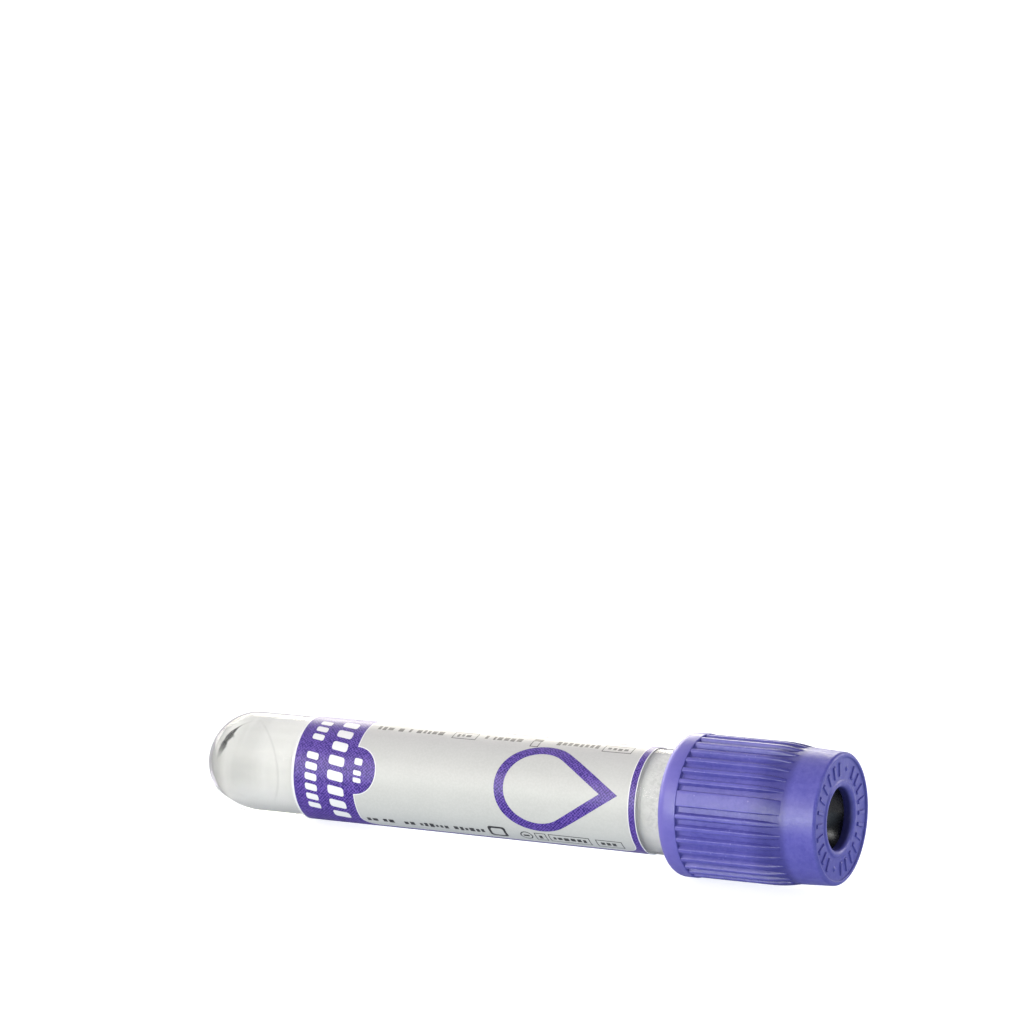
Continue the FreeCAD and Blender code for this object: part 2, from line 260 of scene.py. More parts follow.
def cap_material():
    t = Tree("cap_plastic_moulded")
    cloud = t.noise(180.0, 3.0, 0.55)
    grain = t.noise(2600.0, 3.0, 0.6)
    mottle = t.noise(1150.0, 4.0, 0.7)
    speck = t.voronoi(1900.0)
    bright = t.voronoi(1900.0, out="Color")
    flow = t.noise(1.0, 2.0, 0.5, vector=t.scaled((160.0, 900.0, 900.0)))
    base = t.mix(t.remap(cloud, 0.35, 0.65), (0.0545, 0.0512, 0.248), (0.0628, 0.0591, 0.270))
    base = t.mix(t.remap(grain, 0.30, 0.72, 0.0, 0.5), base, (0.0815, 0.0760, 0.313))
    base = t.mix(t.remap(mottle, 0.40, 0.60, 0.0, 0.50), base, (0.094, 0.088, 0.330))
    # painted glints: bright specks standing in for sparkles of sheen on the rib crests
    dot = t.math("MULTIPLY", t.remap(speck, 0.10, 0.22, 1.0, 0.0), t.remap(bright, 0.64, 0.78, 0.0, 0.44))
    # the painted glints are kept to the ribs, between s 68.4 and 79.5
    s_mm, y_mm, z_mm = from_axis(t)
    dot = t.math("MULTIPLY", dot, t.math("MULTIPLY", t.remap(s_mm, 68.4, 69.4, 0.0, 1.0), t.remap(s_mm, 77.0, 79.5, 1.0, 0.0)))
    base = t.mix(dot, base, (0.30, 0.28, 0.60))
    # painted light: the band is painted paler towards the skirt's rear edge, for light let through the thin skirt
    # behind the stopper and falling on it from the left
    base = t.mix(t.remap(s_mm, 66.6, 70.5, 0.55, 0.0, smooth=True), base, (0.128, 0.110, 0.365))
    # painted shade: the ribs' front ends, where they sink to the collar, are painted darker, where their surface turns
    # away from the light
    ends = t.math("MULTIPLY", t.remap(s_mm, 76.2, 80.4, 0.0, 0.62, smooth=True), t.remap(s_mm, 81.5, 82.8, 1.0, 0.0, smooth=True))
    base = t.mix(ends, base, (0.014, 0.013, 0.115))
    # painted shade: down the hole the plastic is painted near black, for the shade inside it
    r_mm = t.math("SQRT", t.math("ADD", t.math("MULTIPLY", y_mm, y_mm), t.math("MULTIPLY", z_mm, z_mm)))
    hole_painted_shade = t.math("MULTIPLY", t.remap(s_mm, 86.05, 85.35, 0.0, 0.72, smooth=True), t.remap(r_mm, 4.05, 3.9, 0.0, 1.0, smooth=True))
    base = t.mix(t.math("MULTIPLY", hole_painted_shade, t.remap(cloud, 0.3, 0.7, 0.88, 1.0)), base, (0.010, 0.009, 0.045))
    t.put(t.bsdf.inputs["Base Color"], base)
    rough = t.math("ADD", t.remap(grain, 0.3, 0.7, 0.31, 0.43), t.remap(flow, 0.3, 0.7, -0.03, 0.05))
    t.put(t.bsdf.inputs["Roughness"], rough)
    t.set(IOR=1.39, Subsurface_Weight=0.12, Subsurface_Scale=0.0008)
    t.bsdf.inputs["Subsurface Radius"].default_value = (0.8, 0.7, 1.0)
    pores = t.noise(6500.0, 2.0, 0.7)
    h = t.math("ADD", t.math("ADD", t.math("MULTIPLY", grain, 0.6), t.math("MULTIPLY", flow, 0.4)), t.math("MULTIPLY", pores, 0.6))
    t.put(t.bsdf.inputs["Normal"], t.bump(h, 0.60, 0.00003))
    return t.mat


def rubber_material():
    t = Tree("stopper_rubber_moulded")
    cloud = t.noise(320.0, 3.0, 0.6)
    fine = t.noise(3200.0, 2.0, 0.6)
    base = t.mix(t.remap(cloud, 0.35, 0.68), (0.0075, 0.0082, 0.0105), (0.0145, 0.0155, 0.0160))
    base = t.mix(t.remap(fine, 0.62, 0.78, 0.0, 0.4), base, (0.05, 0.051, 0.046))
    t.put(t.bsdf.inputs["Base Color"], base)
    t.put(t.bsdf.inputs["Roughness"], t.remap(fine, 0.3, 0.7, 0.22, 0.32))
    t.set(IOR=1.58)
    t.put(t.bsdf.inputs["Normal"], t.bump(fine, 0.3, 0.00002))
    return t.mat


def clear_outside():
    """Clear moulded plastic, a little milky, with faint draw lines along it."""
    t = Tree("clear_plastic_outside")
    drawn = t.noise(1.0, 2.0, 0.5, vector=t.scaled((60.0, 420.0, 420.0)))
    fine = t.noise(1500.0, 3.0, 0.65)
    base = t.mix(t.remap(fine, 0.3, 0.7), (0.895, 0.900, 0.895), (0.92, 0.923, 0.918))
    # painted shade: the thick round end is painted greyer than the wall, for the grey of its refracting edge
    s = from_axis(t)[0]
    t.put(t.bsdf.inputs["Base Color"], t.mix(t.remap(s, 0.2, 2.6, 0.22, 0.0, smooth=True), base, (0.55, 0.56, 0.56)))
    # the round end is glossier and clearer than the drawn wall
    clear = t.math("ADD", t.remap(drawn, 0.3, 0.7, 0.86, 0.92), t.remap(s, 4.5, 9.0, 0.075, 0.0, smooth=True))
    t.put(t.bsdf.inputs["Transmission Weight"], clear)
    t.put(t.bsdf.inputs["Roughness"], t.remap(fine, 0.3, 0.75, 0.09, 0.16))
    t.set(IOR=1.12)
    t.put(t.bsdf.inputs["Normal"], t.bump(t.math("ADD", drawn, t.math("MULTIPLY", fine, 0.03)), 0.10, 0.00003))
    return t.mat


def clear_inside():
    """The bore's wall under its dried spray: whitish, granular towards the mouth and in the round end."""
    t = Tree("clear_plastic_inside")
    s, y, z = from_axis(t)
    patch = t.noise(150.0, 4.0, 0.6, distortion=0.6)
    grains = t.noise(4300.0, 2.0, 0.7)
    coarse = t.noise(2300.0, 3.0, 0.7)
    base = t.mix(t.remap(patch, 0.32, 0.68), (0.605, 0.608, 0.602), (0.650, 0.653, 0.643))
    # painted light: the wall is painted lighter from s 6.5 to 13, for light thrown back by the white label beside it
    base = t.mix(t.remap(s, 6.5, 13.0, 0.0, 1.0, smooth=True), base, (0.840, 0.840, 0.825))
    base = t.mix(t.remap(s, 55.0, 62.0, 0.0, 1.0, smooth=True), base, (0.825, 0.827, 0.815))
    # granular spray near the mouth
    near = t.remap(s, 60.5, 65.5, 0.0, 1.0, smooth=True)
    base = t.mix(t.math("MULTIPLY", near, t.remap(coarse, 0.44, 0.60, 0.0, 0.75), clamp=True), base, (0.52, 0.53, 0.52))
    # painted light: the lower side is painted paler, for light coming from below
    base = t.mix(t.remap(z, -0.5, -4.4, 0.0, 0.95, smooth=True), base, (0.95, 0.955, 0.97))
    # painted shade: darker at the pole, in streaks, for the grey contour along the round end's edge
    pole = t.math("MULTIPLY", t.remap(s, 1.5, 4.2, 0.95, 0.0, smooth=True), t.remap(coarse, 0.36, 0.62, 0.80, 1.0, smooth=True))
    base = t.mix(pole, base, (0.29, 0.30, 0.30))
    # faint bands across the wall, and a thin darker arc across it
    bands = t.noise(1.0, 2.0, 0.5, vector=t.scaled((620.0, 50.0, 50.0)))
    base = t.mix(t.remap(bands, 0.45, 0.62, 0.0, 0.22), base, (0.93, 0.93, 0.93))
    rim = t.math("ABSOLUTE", t.math("SUBTRACT", t.math("ADD", s, t.math("MULTIPLY", y, 1.01)), 6.65))
    rim = t.math("MULTIPLY", t.remap(rim, 0.10, 0.24, 0.19, 0.0, smooth=True), t.remap(z, -4.2, -2.0, 0.0, 1.0, smooth=True))
    base = t.mix(t.math("MULTIPLY", rim, t.remap(y, -1.0, -2.0, 0.35, 1.0)), base, (0.30, 0.31, 0.31))
    # painted reflection: a feathered dark patch beside the pole, for a dark streak reflected in the round end
    up = t.math("DIVIDE", z, BORE_END)
    ring = t.math("ADD", t.math("MULTIPLY", t.math("SUBTRACT", s, R_END), 0.445 / BORE_END),
                  t.math("ADD", t.math("MULTIPLY", y, -0.869 / BORE_END), t.math("MULTIPLY", up, 0.2165)))
    bend = t.math("SUBTRACT", up, 0.58)
    off = t.math("ABSOLUTE", t.math("SUBTRACT", ring, t.math("SUBTRACT", 0.455, t.math("MULTIPLY", t.math("MULTIPLY", bend, bend), 0.6))))
    feather = t.noise(1.0, 3.0, 0.7, vector=t.scaled((2600.0, 1500.0, 1500.0)))
    width = t.math("MULTIPLY", t.remap(up, 0.93, 0.70, 0.012, 0.135, smooth=True), t.remap(up, 0.12, 0.50, 0.25, 1.0, smooth=True))
    width = t.math("MULTIPLY", width, t.remap(feather, 0.35, 0.60, 0.62, 1.25))
    inside = t.remap(t.math("DIVIDE", off, width), 0.55, 1.05, 1.0, 0.0, smooth=True)
    part_way = t.math("MULTIPLY", t.remap(up, 0.98, 0.88, 0.25, 1.0, smooth=True), t.remap(up, 0.10, 0.58, 0.0, 1.0, smooth=True))
    mark = t.math("MULTIPLY", t.math("MULTIPLY", inside, part_way), t.remap(s, 5.9, 6.4, 1.0, 0.0), clamp=True)
    mark = t.math("MULTIPLY", mark, t.remap(grains, 0.36, 0.56, 0.78, 1.0))
    base = t.mix(mark, base, (0.006, 0.0065, 0.0065))
    t.put(t.bsdf.inputs["Base Color"], base)
    t.put(t.bsdf.inputs["Transmission Weight"], t.remap(patch, 0.3, 0.7, 0.22, 0.10))
    t.put(t.bsdf.inputs["Roughness"], t.remap(grains, 0.3, 0.7, 0.35, 0.5))
    t.set(IOR=1.0)
    t.put(t.bsdf.inputs["Normal"], t.bump(grains, 0.15, 0.00002))
    return t.mat


def film(name, dark, light, grain_to, grain, rough, ior, screen=False):
    """Printed film: its colour with the fine broken grain of the print, and a satin coat."""
    t = Tree(name)
    cloud = t.noise(120.0, 3.0, 0.5)
    drawn = t.noise(1.0, 3.0, 0.6, vector=t.scaled((120.0, 1500.0, 1500.0)))
    if screen:
        # the print's screen: rows of dots at 45 degrees round the label, broken up by the film
        s, y, z = from_axis(t)
        cm, sm = math.cos(math.radians(LABEL_MID)), math.sin(math.radians(LABEL_MID))
        p = t.math("ADD", t.math("MULTIPLY", y, cm), t.math("MULTIPLY", z, sm))
        q = t.math("SUBTRACT", t.math("MULTIPLY", z, cm), t.math("MULTIPLY", y, sm))
        u = t.math("MULTIPLY", t.math("ARCTAN2", q, p), 6.6)
        pitch = 2.0 * math.pi / 0.44
        wobble = t.math("MULTIPLY", t.noise(1300.0, 2.0, 0.6), 6.0)
        a = t.math("SINE", t.math("ADD", t.math("MULTIPLY", s, pitch), wobble))
        b = t.math("SINE", t.math("SUBTRACT", t.math("MULTIPLY", u, pitch), wobble))
        weave = t.math("ADD", t.math("MULTIPLY", t.math("MULTIPLY", a, b), 0.22), 0.5)
        cells = t.math("ADD", t.math("MULTIPLY", weave, 0.56), t.math("MULTIPLY", t.noise(4000.0, 1.0, 0.6), 0.44))
    else:
        cells = t.noise(3900.0, 1.0, 0.6)
    base = t.mix(t.remap(cloud, 0.35, 0.65), dark, light)
    base = t.mix(t.math("MULTIPLY", t.remap(cells, 0.42, 0.60), grain, clamp=True), base, grain_to)
    base = t.mix(t.remap(drawn, 0.35, 0.70, 0.0, 0.12), base, grain_to)
    t.put(t.bsdf.inputs["Base Color"], base)
    t.put(t.bsdf.inputs["Roughness"], t.remap(drawn, 0.3, 0.7, rough - 0.04, rough + 0.05))
    t.set(IOR=ior)
    h = t.math("ADD", t.math("MULTIPLY", drawn, 0.8), t.math("MULTIPLY", cells, 0.3))
    t.put(t.bsdf.inputs["Normal"], t.bump(h, 0.25, 0.00001))
    return t.mat


M_CAP = cap_material()
M_RUBBER = rubber_material()
M_CLEAR = clear_outside()
M_MIST = clear_inside()
M_PANEL = film("label_film_grey", (0.372, 0.373, 0.361), (0.389, 0.390, 0.378), (0.435, 0.436, 0.425), 0.35, 0.40, 1.33)
M_WHITE = film("label_film_white", (0.56, 0.56, 0.565), (0.585, 0.585, 0.59), (0.52, 0.52, 0.54), 0.3, 0.40, 1.36)
M_PURPLE = film("label_ink_purple", (0.0100, 0.0032, 0.092), (0.0130, 0.0045, 0.104), (0.130, 0.075, 0.355), 0.82, 0.36, 1.35, screen=True)
M_BLACK = film("label_ink_black", (0.010, 0.010, 0.012), (0.013, 0.013, 0.015), (0.04, 0.04, 0.045), 0.4, 0.38, 1.45)


# ------------------------------------------------------------------ tube
def tube_profile():
    c, k = R_END, LIP
    prof, inner = [], []
    ball = R_END - 0.008
    prof += [(c + ball * math.cos(math.radians(d)), ball * math.sin(math.radians(d))) for d in np.linspace(180, 90, 49)]
    prof[0] = (c - ball, 0.0)
    prof += [(s, float(outer_r(s))) for s in (9.0, 12.0, STRAIGHT_S1)]
    prof += [(s, float(outer_r(s))) for s in np.linspace(STRAIGHT_S1, TUBE_LEN - k, 16)[1:]]
    r0 = float(outer_r(TUBE_LEN - k))
    prof += arc_pts(TUBE_LEN - k, r0 - k, k, 90, 0, 5)[1:]
    start_inner = len(prof)
    r1 = float(bore_r(TUBE_LEN - k))
    prof += arc_pts(TUBE_LEN - k, r1 + k, k, 0, -90, 5)
    prof += [(s, float(bore_r(s))) for s in np.linspace(TUBE_LEN - k, c, 18)[1:]]
    ball = [(c + BORE_END * math.cos(math.radians(d)), BORE_END * math.sin(math.radians(d))) for d in np.linspace(90, 180, 33)]
    ball[-1] = (c - BORE_END, 0.0)
    prof += ball[1:]
    return prof, start_inner


tube_prof, tube_split = tube_profile()
tube = revolve("tube_wall", tube_prof, 160, [M_CLEAR, M_MIST], lambda i: 1 if i >= tube_split + 4 and i < len(tube_prof) - 1 else 0, sharp_deg=40.0)


# ------------------------------------------------------------------ stopper
def stopper_profile():
    well_r, well_d, head_r = 4.70, 3.80, 6.65
    dish = (well_r ** 2 + well_d ** 2) / (2 * well_d)
    cs = TOP_WALL_S - well_d + dish
    lip = math.degrees(math.atan2(well_r, TOP_WALL_S - cs))
    p = arc_pts(cs, 0.0, dish, 180, lip + 1.5, 30)
    p[0] = (TOP_WALL_S - well_d, 0.0)
    p += [(TOP_WALL_S - 0.01, well_r + 0.10), (TOP_WALL_S - 0.01, head_r - 0.35)]
    p += arc_pts(TOP_WALL_S - 0.36, head_r - 0.36, 0.35, 90, 0, 1)[:0]
    p += [(TOP_WALL_S - 0.11, head_r - 0.11), (TOP_WALL_S - 0.35, head_r - 0.01)]
    p += [(78.20, 6.64), (78.19, 6.94), (78.14, 6.99), (75.10, 6.99), (75.03, 6.93), (75.03, 5.55), (74.95, 5.41)]
    p += [(67.90, 5.41), (67.84, 5.39), (67.32, 4.86), (67.30, 4.80), (67.30, 3.50), (67.38, 3.34), (67.60, 3.20), (73.80, 3.20)]
    p += arc_pts(73.80, 0.0, 3.20, 90, 0, 10)[1:]
    p[-1] = (77.0, 0.0)
    return p


stopper = revolve("rubber_stopper", stopper_profile(), 144, [M_RUBBER], sharp_deg=32.0)


# ------------------------------------------------------------------ cap
HALF = 8                       # samples from a rib's middle to its foot


def crest(s, r):
    s = max(s, BARREL_S)
    return r - (BARREL_R - math.sqrt(BARREL_R ** 2 - (s - BARREL_S) ** 2))


def floor_r(s):
    if s <= 81.70:
        k, d = 0.42, s - BAND_FRONT            # the grooves run out into the band in a small fillet
        rise = k - math.sqrt(max(0.0, k * k - (k - d) ** 2)) if d < k else 0.0
        return 8.18 + d / (81.70 - BAND_FRONT) * 0.09 + 0.9 * rise
    return 8.27 - (s - 81.70) / (85.75 - 81.70) * 0.17


def half_profile(kind, depth):
    """Half of a rib's or pad's section: (t, d) from its middle to the groove floor, depth below the crest."""
    if kind == "rib":
        flat, rad, full, out = 0.1406, 0.144, math.radians(66.5), 0.4352
        g = [0.0, 0.10, 0.18, 0.235, 0.29, 0.34, 0.39, 0.68, 1.0]
    else:
        flat, rad, full, out = 0.845, 0.12, math.radians(83.0), 0.125
        g = [0.0, 0.35, 0.60, 0.635, 0.665, 0.695, 0.725, 0.86, 1.0]
    depth = max(depth, 0.0)
    phi = min(full, math.acos(max(-1.0, 1 - min(depth, rad) / rad)))
    d_arc = rad * (1 - math.cos(phi))
    t_arc = flat + rad * math.sin(phi)
    flank = max(0.0, depth - d_arc) if phi >= full - 1e-9 else 0.0
    l0, l1, l2 = flat, rad * phi, flank * math.hypot(1.0, out)
    total = l0 + l1 + l2
    pts = []
    for x in g:
        q = x * total
        if q <= l0:
            pts.append((q, 0.0))
        elif q <= l0 + l1:
            a = (q - l0) / rad
            pts.append((flat + rad * math.sin(a), rad * (1 - math.cos(a))))
        else:
            e = (q - l0 - l1) / math.hypot(1.0, out)
            pts.append((t_arc + e * out, d_arc + e))
    return pts


step = (90.0 - 2 * RIB_FIRST) / (RIBS_Q - 1)
grips = []
for q in range(4):
    grips.append((PAD_PHASE + 90.0 * q, "pad", PAD_R))
    for i in range(RIBS_Q):
        grips.append((PAD_PHASE + 90.0 * q + RIB_FIRST + step * i, "rib", RIB_R))
GAP_COLS = 3
PER = 2 * HALF + 1 + GAP_COLS
N = PER * len(grips)


def tip_s(kind, r):
    lo, hi = 80.0, 82.6
    for _ in range(50):
        m = 0.5 * (lo + hi)
        if crest(m, r) > floor_r(m):
            lo = m
        else:
            hi = m
    return 0.5 * (lo + hi)


TIP = {"rib": tip_s("rib", RIB_R), "pad": tip_s("pad", PAD_R)}
EVEN_S = 84.2                  # by here the columns are evenly spread


def skirt_row(s):
    """(theta, r) of every column at s, on the ribbed skirt and the collar."""
    fl = floor_r(s)
    th, rr = [], []
    feet = []
    for mid, kind, r in grips:
        hp = half_profile(kind, crest(s, r) - fl)
        c = crest(s, r)
        side = [(t, max(c - d, fl)) for t, d in hp]
        if crest(s, r) <= fl:
            side = [(t, fl) for t, _ in side]
        pts = [(-t, q) for t, q in reversed(side[1:])] + side
        ang = [math.radians(mid) + t / 8.45 for t, _ in pts]
        th.append(ang)
        rr.append([q for _, q in pts])
        feet.append((ang[0], ang[-1]))
    out_t, out_r = [], []
    for i in range(len(grips)):
        out_t += th[i]
        out_r += rr[i]
        a = feet[i][1]
        b = feet[(i + 1) % len(grips)][0] + (2 * math.pi if i == len(grips) - 1 else 0.0)
        for k in range(1, GAP_COLS + 1):
            out_t.append(a + (b - a) * k / (GAP_COLS + 1))
            out_r.append(fl)
    return np.array(out_t), np.array(out_r)


T0 = skirt_row(81.0)[0][0]


BAR_FOOT = BAR_HALF + 0.025


def face_columns():
    """Where each column sits on the cap's face: [(middle angle, offset t in mm)] with t = None between the bars."""
    bars = sorted((DOT_PHASE + 90 + 180 * g + (i - (BAR_COUNT - 1) / 2) * BAR_PITCH) % 360 for g in range(2) for i in range(BAR_COUNT))
    offs = tuple(BAR_FOOT * x for x in (-1.0, -0.90, -0.72, 0.0, 0.72, 0.90, 1.0))
    gaps = [((bars[(i + 1) % len(bars)] - bars[i]) % 360) for i in range(len(bars))]
    free = N - len(offs) * len(bars)
    w = math.degrees(2 * BAR_FOOT / 6.1)
    share = [(g - w) for g in gaps]
    want = [free * x / sum(share) for x in share]
    count = [int(x) for x in want]
    for i in sorted(range(len(want)), key=lambda i: count[i] - want[i])[:free - sum(count)]:
        count[i] += 1
    cols = []
    for i, b in enumerate(bars):
        for k, o in enumerate(offs):
            cols.append(("bar", b, o, (0.0, 0.62, 0.96, 1.0, 0.96, 0.62, 0.0)[k]))
        nxt = b + gaps[i]
        for k in range(1, count[i] + 1):
            cols.append(("gap", b, nxt, k / (count[i] + 1)))
    return cols


FACE = face_columns()


def face_theta(r):
    """Column angles on the face at radius r, starting near the skirt's first column."""
    th = []
    for c in FACE:
        if c[0] == "bar":
            th.append(math.radians(c[1]) + math.asin(c[2] / r))
        else:
            a = math.radians(c[1]) + math.asin(BAR_FOOT / r)
            b = math.radians(c[2]) - math.asin(BAR_FOOT / r)
            th.append(a + (b - a) * c[3])
    return np.array(th)


# shift the face's columns so that they start next to the skirt's first one
even = T0 + np.arange(N) * 2 * np.pi / N
ft = face_theta(6.5)
best = min(range(N), key=lambda k: np.abs(np.unwrap(np.roll(ft, -k) + np.concatenate([np.zeros(N - k), np.full(k, 2 * np.pi)]) if k else ft).mean() % (2 * np.pi) - even.mean() % (2 * np.pi)))


def rolled(th):
    x = np.concatenate([th[best:], th[:best] + 2 * np.pi])
    while x.mean() - even.mean() > math.pi:
        x = x - 2 * np.pi
    while x.mean() - even.mean() < -math.pi:
        x = x + 2 * np.pi
    return x


FACE_ROLLED = FACE[best:] + FACE[:best]
bar_h = np.array([c[3] if c[0] == "bar" else 0.0 for c in FACE_ROLLED])

rows = []                      # (theta[N], s[N], r[N], tag)


def add_row(th, s, r, tag=""):
    rows.append((np.asarray(th, float), np.full(N, s) if np.isscalar(s) else np.asarray(s, float),
                 np.full(N, r) if np.isscalar(r) else np.asarray(r, float), tag))


first_t = skirt_row(BAND_FRONT)[0]
# skirt's rear edge and band
add_row(first_t, 65.65, 7.10)
add_row(first_t, 65.46, 7.28)
add_row(first_t, 65.40, 7.37)
for s, r in arc_pts(CAP_REAR + BAND_ROUND, BAND_R - BAND_ROUND, BAND_ROUND, 180, 90, 14):
    add_row(first_t, s, r)
add_row(first_t, 67.30, BAND_R)
add_row(first_t, 67.98, BAND_R)
for s, r in arc_pts(68.10 - 0.09, BAND_R - 0.09, 0.09, 90, 0, 4)[1:]:
    add_row(first_t, s, r)
add_row(first_t, BAND_FRONT, np.minimum(skirt_row(BAND_FRONT)[1] + 0.012, BAND_R - 0.10), "wall")
span = [68.115, 68.14, 68.18, 68.23, 68.30, 68.40, 68.54, 68.9, 69.5, 71.0, 72.5, 74.0, 75.5, 77.0, 78.0]
span += list(np.arange(78.35, 81.0, 0.35)) + list(np.arange(81.0, 82.0, 0.09))
span = sorted([x for x in span if min(abs(x - TIP["rib"]), abs(x - TIP["pad"])) > 0.035] + [TIP["rib"], TIP["pad"]])
for s in span:
    th, r = skirt_row(s)
    add_row(th, s, r, "rib" if s < TIP["rib"] - 1e-6 else ("tip" if abs(s - TIP["rib"]) < 1e-6 else ""))
    if abs(s - TIP["pad"]) < 1e-6:
        rows[-1] = rows[-1][:3] + ("padtip",)
last_t = skirt_row(max(span))[0]
for s in (82.2, 82.6, 83.1, 83.7, EVEN_S):
    w = (s - max(span)) / (EVEN_S - max(span))
    w = w * w * (3 - 2 * w)
    add_row(last_t * (1 - w) + even * w, s, floor_r(s))
face_out = rolled(face_theta(7.6))
for s in (84.7, 85.25, 85.72):
    w = (s - EVEN_S) / (85.72 - EVEN_S)
    add_row(even * (1 - w) + face_out * w, s, floor_r(s))
for s, r in arc_pts(FACE_S - 0.002 - BEAD, COLLAR_R - BEAD, BEAD, 87, 0, 10):
    add_row(face_out, s, r)
ring_s = FACE_S - 0.25
add_row(face_out, FACE_S - 0.002, 7.60)
for s, r in [(FACE_S - 0.03, 7.54), (FACE_S - 0.12, 7.48), (FACE_S - 0.22, 7.43), (ring_s, 7.36), (ring_s, 7.15)]:
    add_row(rolled(face_theta(r)), s, r)


def bar_end(r):
    d = min(6.975 - r, r - 5.275)
    if d <= -0.001:
        return 0.0
    return float(np.interp(d, [0.0, 0.03, 0.09], [0.0, 0.62, 1.0]))


dots = [math.radians(DOT_PHASE), math.radians(DOT_PHASE + 180)]
radii = [7.08, 6.98, 6.955, 6.93, 6.87, 6.75, 6.60]
radii += list(np.arange(6.46, 5.73, -0.065)) + [5.65, 5.50, 5.385, 5.32, 5.295, 5.27, 5.15, 4.98, 4.80]
for r in radii:
    th = rolled(face_theta(r))
    h = BAR_H * np.minimum(bar_h, bar_end(r))
    for d in dots:
        q = (th - d + math.pi) % (2 * math.pi) - math.pi
        dist = np.hypot(r * np.cos(q) - 6.10, r * np.sin(q))
        h = np.maximum(h, BAR_H * np.sqrt(np.clip(1 - (dist / 0.31) ** 2, 0, 1)))
    add_row(th, ring_s + h, r)
in_t = rolled(face_theta(4.7))
for s, r in [(ring_s + 0.03, 4.72), (ring_s + 0.11, 4.64), (ring_s + 0.15, 4.56)]:
    add_row(in_t, s, r)
hs = FACE_S - 0.10
for s, r in arc_pts(hs - HOLE_ROUND, HOLE_R + HOLE_ROUND, HOLE_ROUND, 0, -90, 12):
    add_row(in_t, s, r)
for s, r in [(85.1, HOLE_R), (84.78, HOLE_R), (TOP_WALL_S, HOLE_R + 0.07), (TOP_WALL_S, 5.2), (TOP_WALL_S, 6.70), (81.5, 6.70), (78.30, 6.70), (78.30, 7.10),
             (76.5, 7.10), (74.90, 7.10), (74.75, 6.86), (74.30, 6.86), (73.90, 7.10), (70.0, 7.10)]:
    add_row(in_t, s, r)

V = np.concatenate([world(s, r, th) for th, s, r, _ in rows])
R = len(rows)
F = []
for i in range(R):
    a, b = i * N, ((i + 1) % R) * N
    for j in range(N):
        k = (j + 1) % N
        F.append((a + j, a + k, b + k, b + j))
cap = new_mesh("cap_shield", V, F, [M_CAP], None, 38.0)

# crisp feet of the ribs and crisp ends where they sink into the collar
foot_cols = set()
tip_cols = {"rib": set(), "pad": set()}
for g, (_, kind, _) in enumerate(grips):
    foot_cols |= {g * PER, g * PER + 2 * HALF}
    tip_cols[kind] |= set(range(g * PER, g * PER + 2 * HALF))
pad_foot = {c for g, (_, kind, _) in enumerate(grips) if kind == "pad" for c in (g * PER, g * PER + 2 * HALF)}
tags = [x[3] for x in rows]
i_tip, i_pad, i_wall = tags.index("tip"), tags.index("padtip"), tags.index("wall")
ev = np.zeros(len(cap.data.edges) * 2, np.int64)
cap.data.edges.foreach_get("vertices", ev)
ev = ev.reshape(-1, 2)
row_a, row_b, col_a, col_b = ev[:, 0] // N, ev[:, 1] // N, ev[:, 0] % N, ev[:, 1] % N
sharp = np.zeros(len(ev), bool)
attr = cap.data.attributes.get("sharp_edge")
if attr is not None:
    attr.data.foreach_get("value", sharp)
along = (col_a == col_b) & (np.maximum(row_a, row_b) <= i_tip) & (np.minimum(row_a, row_b) >= i_wall)
sharp |= along & np.isin(col_a, list(foot_cols)) & ~(np.isin(col_a, list(pad_foot)) & (np.maximum(row_a, row_b) > i_pad))
across = row_a == row_b
lowcol = np.where(np.abs(col_a - col_b) == 1, np.minimum(col_a, col_b), N - 1)
sharp |= across & (row_a == i_tip) & np.isin(lowcol, list(tip_cols["rib"]))
sharp |= across & (row_a == i_pad) & np.isin(lowcol, list(tip_cols["pad"]))
if attr is None:
    attr = cap.data.attributes.new("sharp_edge", "BOOLEAN", "EDGE")
attr.data.foreach_set("value", sharp)
cap.data.update()


# ------------------------------------------------------------------ label
# Drawn flat: x is s, y is the length round the tube from the label's middle, in mm at r = 6.5.
HALF_U = math.radians((360.0 - LABEL_GAP) / 2) * 6.5
PAPER, GREY, INK, BLACK = 0, 1, 2, 3
shapes = []                    # (points, material), painted in this order


def rect(x0, y0, x1, y1, m, round_=0.0, n=5, lean=0.0):
    if round_ <= 0:
        pts = [(x0, y0), (x1, y0), (x1, y1), (x0, y1)]
    else:
        pts = []
        for cx, cy, d in ((x1 - round_, y0 + round_, -90), (x1 - round_, y1 - round_, 0), (x0 + round_, y1 - round_, 90), (x0 + round_, y0 + round_, 180)):
            for i in range(n + 1):
                a = math.radians(d + 90 * i / n)
                pts.append((cx + round_ * math.cos(a), cy + round_ * math.sin(a)))
    if lean:
        ym = 0.5 * (x0 + x1)
        pts = [(x, y + lean * (x - ym)) for x, y in pts]
    shapes.append((pts, m))


def disc(cx, cy, r, m, n=64):
    shapes.append(([(cx + r * math.cos(2 * math.pi * i / n), cy + r * math.sin(2 * math.pi * i / n)) for i in range(n)], m))


def drop(cx, r, tip, m, n=56):
    """A drop with its round side towards the round end and its point at x = tip."""
    d = tip - cx
    a = math.acos(r / d)
    pts = [(tip, 0.0)]
    for i in range(n + 1):
        q = a + (2 * math.pi - 2 * a) * i / n
        pts.append((cx + r * math.cos(q), r * math.sin(q)))
    shapes.append((pts, m))


